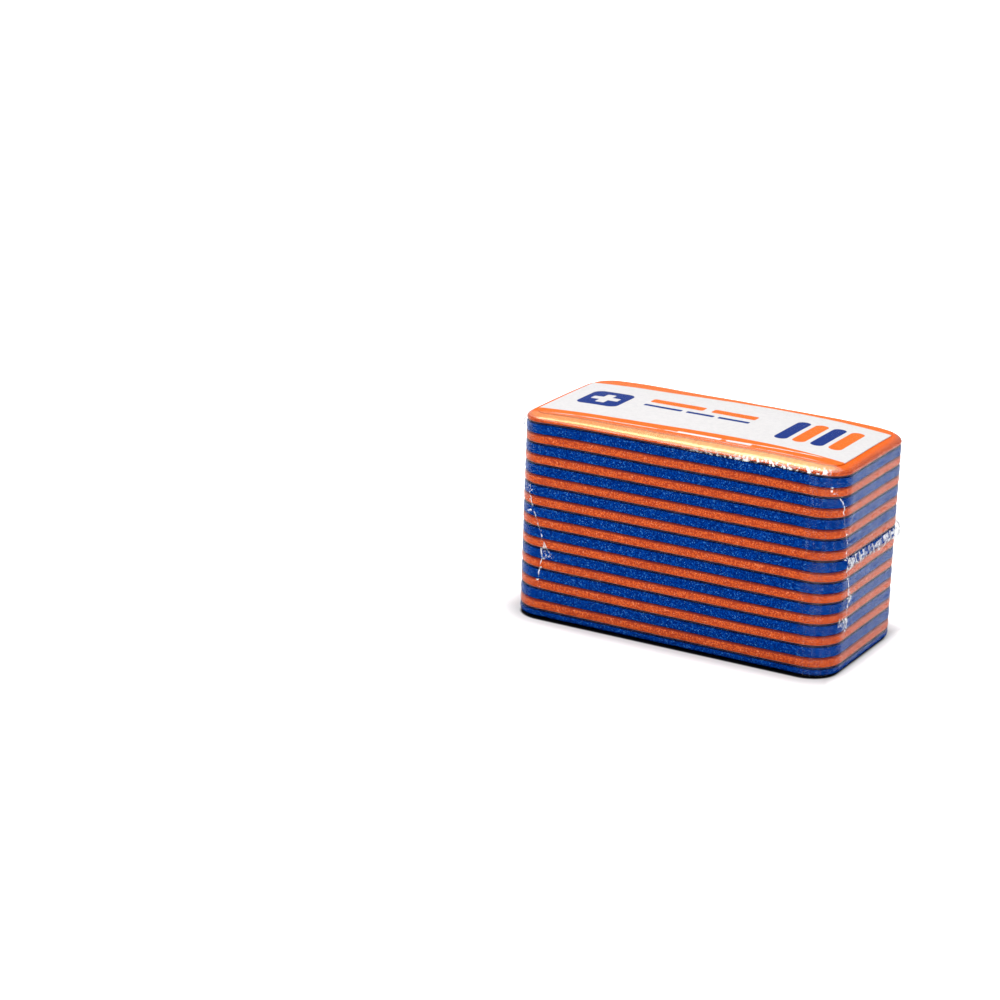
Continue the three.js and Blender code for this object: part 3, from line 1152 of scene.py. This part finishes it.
def makeWeldTree():
    tree, given = geometryTree("crimpedWeld", weld)
    path = node(tree, "GeometryNodeMeshToCurve", None, {"Mesh": given.out("Geometry")}).wire
    steps = given.out("Length") / given.out("Step")
    count = node(tree, "FunctionNodeFloatToInt", None, {"Float": steps}).wire
    sheet = node(tree, "GeometryNodeMeshGrid", None, {
        "Size X": 1.0, "Size Y": 1.0, "Vertices X": count, "Vertices Y": given.out("Rows"),
    }).wire
    spot = node(tree, "GeometryNodeInputPosition").wire
    flat = node(tree, "ShaderNodeSeparateXYZ", None, {"Vector": spot})
    along, across = flat.out("X") + 0.5, flat.out("Y") * 2.0
    sample = node(tree, "GeometryNodeSampleCurve", {"mode": "FACTOR", "use_all_curves": True}, {
        "Curves": path, "Factor": along,
    })
    upright = node(tree, "ShaderNodeCombineXYZ", None, {"Z": 1.0}).wire
    out = vectors(tree, "CROSS_PRODUCT", sample.out("Tangent"), upright)
    spot = sample.out("Position")
    uneven = noise(tree, spot, 330.0, 1.0)
    lean = noise(tree, spot, 150.0, 0.0)
    turn = along * given.out("Length") / given.out("Pitch") + across * given.out("Slant")
    turn = turn + (uneven - 0.5) * given.out("Jitter")
    swing = (turn * (2 * math.pi)).sine()
    ends = along.ramp(0.0, 0.02) * along.ramp(0.985, 1.0, 1.0, 0.0)
    crimp = swing * given.out("Crimp") * (1.0 - across * across * given.out("Cup"))
    stand = (given.out("Stand") + crimp) * ends
    stand = stand + (uneven - 0.3).above(0.0) * given.out("Unevenness")
    rise = across * given.out("Half Width") * (0.75 + 0.5 * uneven) * (0.35 + 0.65 * ends)
    rise = rise + (lean - 0.5) * given.out("Lean") + swing * given.out("Flick")
    lift = node(tree, "ShaderNodeCombineXYZ", None, {"Z": rise}).wire
    for shift in (scaled(tree, out, stand), lift):
        spot = vectors(tree, "ADD", spot, shift)
    inputs = {"Geometry": sheet, "Position": spot}
    placed = node(tree, "GeometryNodeSetPosition", None, inputs).wire
    smooth = node(tree, "GeometryNodeSetShadeSmooth", None, {"Geometry": placed}).wire
    finishTree(tree, given, smooth)
    return tree


weldLook = {
    "streaks": 900.0,
    "cut": (0.45, 0.65),
    "milk": 0.6,  # of the streaks
    "edgeFall": 3.0,
    "edgeMilk": 0.4,  # of what is seen at a slant
    "most": 0.75,
}


def weldMaterial():
    material, tree = newMaterial("crimpedFilm")
    spot = places(tree)[0]
    facing = slant(tree)
    streaks = noise(tree, stretched(tree, spot, 1.0, 1.0, 0.4), weldLook["streaks"], 3.0, 0.6)
    milky = streaks.ramp(*weldLook["cut"]) * weldLook["milk"]
    milky = (milky + facing ** weldLook["edgeFall"] * weldLook["edgeMilk"]).below(weldLook["most"])
    finishMaterial(tree, mixShaders(tree, milky, bareShader(tree), milkAndHighlightShader(tree, spot)))
    return material


def onFilm(along, height, lift=0.0):
    # A place on the film, by the distance round the stack from the middle of the front and the height
    spot, out = onPlan(along)
    x, y = spot + out * (film["clear"] + lift)
    return (x, y, height)


def layOnFilm(piece, material):
    pressed(piece, material)
    piece.visible_shadow = False


def pathPiece(name, points):
    return newPiece(name, points, [], [(place, place + 1) for place in range(len(points) - 1)])


crimped = weldMaterial()


def makeWeld():
    start = longStraight / 2 + quarterTurn
    steps = 240
    along = [start + weld["Length"] * step / steps for step in range(steps + 1)]
    points = [onFilm(place, weld["Height"]) for place in along]
    piece = pathPiece("filmWeld", points)
    shapeBy(piece, makeWeldTree(), {**weld, "Material": crimped})
    layOnFilm(piece, crimped)


makeWeld()
print("weld made")


# Creases where the film gathers at the corners

gather = {
    "Thread": 0.15 * mm,  # radius of a crease at its thickest
    "Wander": 0.42 * mm,
    "Step": 0.3 * mm,
    "Shards": 1300.0,  # in a metre
    "Shard Size": 0.3 * mm,
    "Seed": 4,
}

# Patterns in a metre, and the noise where each starts and ends with what it gives there
gatherLook = {
    "wander": 800.0,
    "breaks": 620.0,
    "thickness": (0.42, 0.64, 0.05, 1.0),
    "milk": 900.0,
    "solid": (0.3, 0.65, 0.2, 0.8),
}

# Distance round the stack from the middle of the front, and height, in millimetres
creases = {
    "frontRight": [
        (44.6, 53.4), (44.6, 51.2), (46.2, 51.5), (47.2, 49.7), (49.0, 47.4), (48.6, 45.8),
        (49.4, 42.6), (50.3, 39.0), (50.9, 36.0), (51.2, 33.0), (53.4, 30.6), (51.8, 28.8),
        (53.6, 25.7), (53.7, 22.8), (54.6, 20.0), (53.4, 17.0), (54.1, 14.0), (51.4, 11.8),
    ],
    "frontLeft": [
        (-42.8, 38.0), (-43.0, 35.8), (-42.4, 34.0), (-41.4, 31.7), (-40.8, 29.9), (-39.6, 27.1),
        (-38.4, 23.9),
    ],
    "frontLeftLow": [(-38.3, 17.6), (-38.7, 14.9), (-38.9, 12.0), (-39.1, 9.3), (-38.3, 9.5)],
    "frontLeftSide": [(-49.0, 29.4), (-43.4, 30.3), (-41.3, 31.2)],
    "backRight": [
        (91.2, 50.0), (90.0, 44.0), (91.6, 38.0), (90.4, 32.0), (91.8, 26.0), (90.6, 18.0),
        (91.4, 12.0),
    ],
    "backLeft": [
        (-92.0, 49.0), (-90.6, 42.0), (-91.8, 35.0), (-90.4, 28.0), (-91.2, 20.0), (-90.4, 13.0),
    ],
}

# Flat folds: the lift of the middle, and the corners as distance round and height, in millimetres
folds = {
    "frontLeftFold": (0.5, [(-38.6, 24.2), (-38.7, 20.0), (-38.2, 17.4), (-33.6, 18.4), (-36.3, 20.2)]),
    "frontRightFold": (0.5, [(53.6, 23.6), (52.9, 20.2), (54.4, 18.6), (56.4, 20.4)]),
    "frontRightHatch": (0.3, [(49.2, 15.8), (54.4, 14.6), (54.6, 12.2), (49.4, 13.2)]),
    "frontRightKnot": (0.9, [(52.6, 32.2), (51.6, 29.0), (54.4, 28.6), (56.2, 31.4)]),
    "topLeftEar": (1.0, [(-47.0, 56.6), (-46.6, 53.6), (-50.4, 53.2), (-51.4, 56.2)]),
    "backRightEar": (1.5, [(84.4, 33.4), (84.0, 28.6), (89.6, 28.2), (91.0, 33.0)]),
}


def randomVector(tree, low, high, seed):
    return node(tree, "FunctionNodeRandomValue", {"data_type": "FLOAT_VECTOR"}, {
        "Min": (low, low, low), "Max": (high, high, high), "Seed": seed,
    }).wire


def makeGatherTree():
    tree, given = geometryTree("gatheredFilm", gather)
    path = node(tree, "GeometryNodeMeshToCurve", None, {"Mesh": given.out("Geometry")}).wire
    path = node(tree, "GeometryNodeResampleCurve", {"mode": "LENGTH"}, {
        "Curve": path, "Length": given.out("Step"),
    }).wire
    spot = node(tree, "GeometryNodeInputPosition").wire
    scatter = node(tree, "ShaderNodeTexNoise", None, {
        "Vector": spot, "Scale": gatherLook["wander"], "Detail": 1.0,
    }).out("Color")
    centred = vectors(tree, "SUBTRACT", scatter, (0.5, 0.5, 0.5))
    path = moveBy(tree, path, scaled(tree, centred, given.out("Wander") * 2.0))
    strength = noise(tree, spot, gatherLook["breaks"], 2.0).ramp(*gatherLook["thickness"])
    section = node(tree, "GeometryNodeCurvePrimitiveCircle", None, {
        "Resolution": 5, "Radius": 1.0,
    }).wire
    thread = node(tree, "GeometryNodeCurveToMesh", None, {
        "Curve": path,
        "Profile Curve": section,
        "Scale": strength * given.out("Thread"),
        "Fill Caps": True,
    }).wire

    spacing = 1.0 / given.out("Shards")
    points = node(tree, "GeometryNodeCurveToPoints", {"mode": "LENGTH"}, {
        "Curve": path, "Length": spacing,
    }).wire
    seed = given.out("Seed")
    place = randomVector(tree, -1.0, 1.0, seed)
    points = moveBy(tree, points, scaled(tree, place, given.out("Wander") * 1.4))
    turn = randomVector(tree, 0.0, 6.3, seed)
    size = node(tree, "FunctionNodeRandomValue", {"data_type": "FLOAT"}, {
        "Min": 0.15, "Max": 1.0, "Seed": seed,
    }).wire
    shard = node(tree, "GeometryNodeMeshCone", {"fill_type": "TRIANGLE_FAN"}, {
        "Vertices": 3, "Radius Top": 0.0, "Radius Bottom": 1.0, "Depth": 0.5,
    }).out("Mesh")
    size = size * size * given.out("Shard Size") * 2.0
    shards = node(tree, "GeometryNodeInstanceOnPoints", None, {
        "Points": points, "Instance": shard, "Rotation": turn, "Scale": size,
    }).wire
    joined = tree.nodes.new("GeometryNodeJoinGeometry")
    tree.links.new(thread.socket, joined.inputs["Geometry"])
    tree.links.new(shards.socket, joined.inputs["Geometry"])
    finishTree(tree, given, Made(tree, joined).wire)
    return tree


def gatherMaterial():
    material, tree = newMaterial("gatheredFilm")
    spot = places(tree)[0]
    solid = noise(tree, spot, gatherLook["milk"], 1.0).ramp(*gatherLook["solid"])
    finishMaterial(tree, mixShaders(tree, solid, bareShader(tree), milkAndHighlightShader(tree, spot)))
    return material


gathered = gatherMaterial()


def makeCreases():
    tree = makeGatherTree()
    for seed, (name, points) in enumerate(creases.items()):
        path = [onFilm(along * mm, height * mm, 0.1 * mm) for along, height in points]
        piece = pathPiece(f"{name}Crease", path)
        shapeBy(piece, tree, {**gather, "Seed": gather["Seed"] + seed, "Material": gathered})
        layOnFilm(piece, gathered)


foldShape = {
    "rows": 5,  # from the rim to the middle
    "steps": 5,  # between two corners
    "standOff": 0.08,  # of the rim from the film, in millimetres
    "rise": 0.7,  # of the middle, as a share of the fold's lift
    "ridge": 2.0,
}


def makeFold(name, lift, rim):
    # A fan of ridges and hollows between the rim's corners and a raised middle
    rows, steps = foldShape["rows"], foldShape["steps"]
    middle = np.mean(rim, axis=0)
    verts = []
    around = len(rim) * steps
    for row in range(rows + 1):
        share = row / rows
        for place in range(around):
            corner, step = divmod(place, steps)
            start, end = np.array(rim[corner]), np.array(rim[(corner + 1) % len(rim)])
            along, height = (start + (end - start) * step / steps) * (1 - share) + middle * share
            ridge = foldShape["ridge"] * share * (1 - share) if place % 2 else 0
            out = foldShape["standOff"] + lift * (foldShape["rise"] * share + ridge)
            verts.append(onFilm(along * mm, height * mm, out * mm))
    piece = newPiece(name, verts, ringFaces(rows, around))
    work = bmesh.new()
    work.from_mesh(piece.data)
    bmesh.ops.remove_doubles(work, verts=work.verts, dist=0.001 * mm)
    bmesh.ops.recalc_face_normals(work, faces=work.faces)
    work.to_mesh(piece.data)
    work.free()
    layOnFilm(piece, crimped)


makeCreases()
for name, (lift, rim) in folds.items():
    makeFold(name, lift, rim)
print("creases made")
